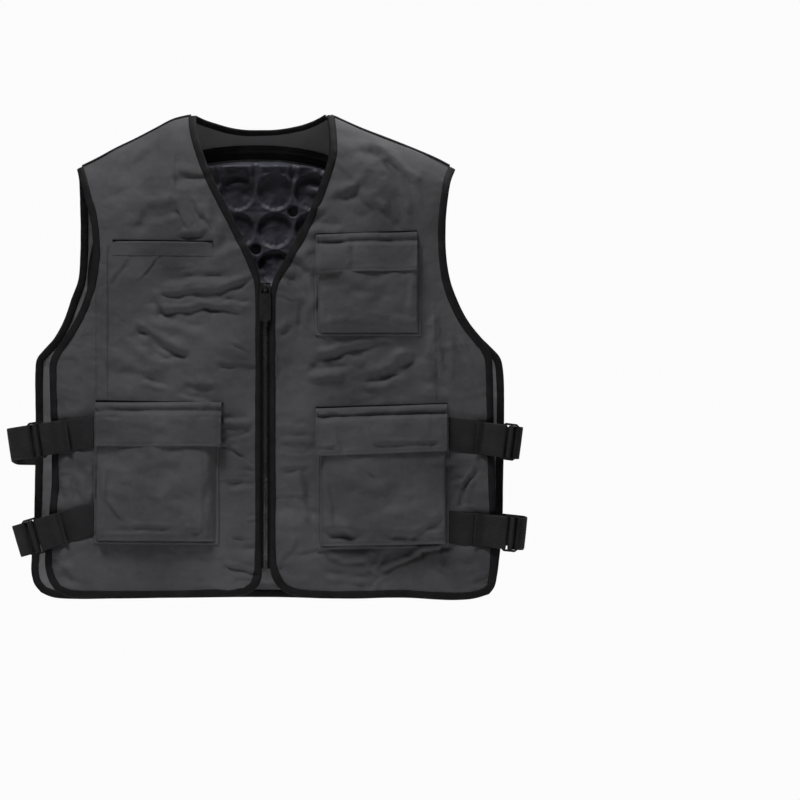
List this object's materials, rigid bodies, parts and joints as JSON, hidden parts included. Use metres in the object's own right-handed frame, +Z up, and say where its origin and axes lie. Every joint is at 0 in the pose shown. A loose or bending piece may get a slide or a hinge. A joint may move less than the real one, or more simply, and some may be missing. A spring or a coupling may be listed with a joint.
{
  "type": "cooling vest",
  "caption": "Sleeveless zip-front work vest with bound edges, bellows pockets, adjustable side straps and dished cooling packs inside.",
  "frame": {"origin": "midway between the two neck-side shoulder points, where the vest hangs", "axes": "+X to the right as seen from the front, +Y from the front to the back, +Z up; the zip front faces -Y"},
  "size_m": [0.6517, 0.1418, 0.6133],
  "materials": {
    "panel_cloth": "matt woven nylon",
    "pocket_cloth": "matt woven nylon",
    "edge_binding": "ribbed tape",
    "zip_tape": "matt tape",
    "zip_coil": "satin nylon coil",
    "zip_metal": "black enamel",
    "buckle_plastic": "satin",
    "webbing": "woven ribbed webbing",
    "pack_film": "semi-gloss sealed film"
  },
  "bodies": {
    "vest": {"back_panel": "panel_cloth", "front_panel_left": "panel_cloth", "front_panel_right": "panel_cloth", "back_edge_binding": "edge_binding", "front_binding_left": "edge_binding", "front_binding_right": "edge_binding", "back_neck_binding": "edge_binding", "shoulder_seam_left": "edge_binding", "shoulder_seam_right": "edge_binding", "chest_pocket": "pocket_cloth", "lower_pocket_left": "pocket_cloth", "lower_pocket_right": "pocket_cloth", "chest_pocket_flap": "pocket_cloth", "lower_pocket_flap_left": "pocket_cloth", "lower_pocket_flap_right": "pocket_cloth", "chest_welt": "pocket_cloth", "zip_tape_left": "zip_tape", "zip_tape_right": "zip_tape", "zip_teeth": "zip_coil", "zip_slider": "zip_metal", "strap_front_upper_left": "webbing", "strap_back_upper_left": "webbing", "strap_buckle_upper_left": "buckle_plastic", "strap_front_lower_left": "webbing", "strap_back_lower_left": "webbing", "strap_buckle_lower_left": "buckle_plastic", "strap_front_upper_right": "webbing", "strap_back_upper_right": "webbing", "strap_buckle_upper_right": "buckle_plastic", "strap_front_lower_right": "webbing", "strap_back_lower_right": "webbing", "strap_buckle_lower_right": "buckle_plastic", "back_pack": "pack_film", "front_pack_left": "pack_film", "front_pack_right": "pack_film", "back_pouch_zip": "zip_tape"},
    "pull": {"zip_pull": "zip_metal"}
  },
  "joints": [
    {"name": "zip_pull_hinge", "type": "hinge", "parent": "vest", "child": "pull", "pos_m": [0.0035, -0.07246, -0.217], "axis": [1, 0, 0], "range_deg": [-170, 0]}
  ]
}
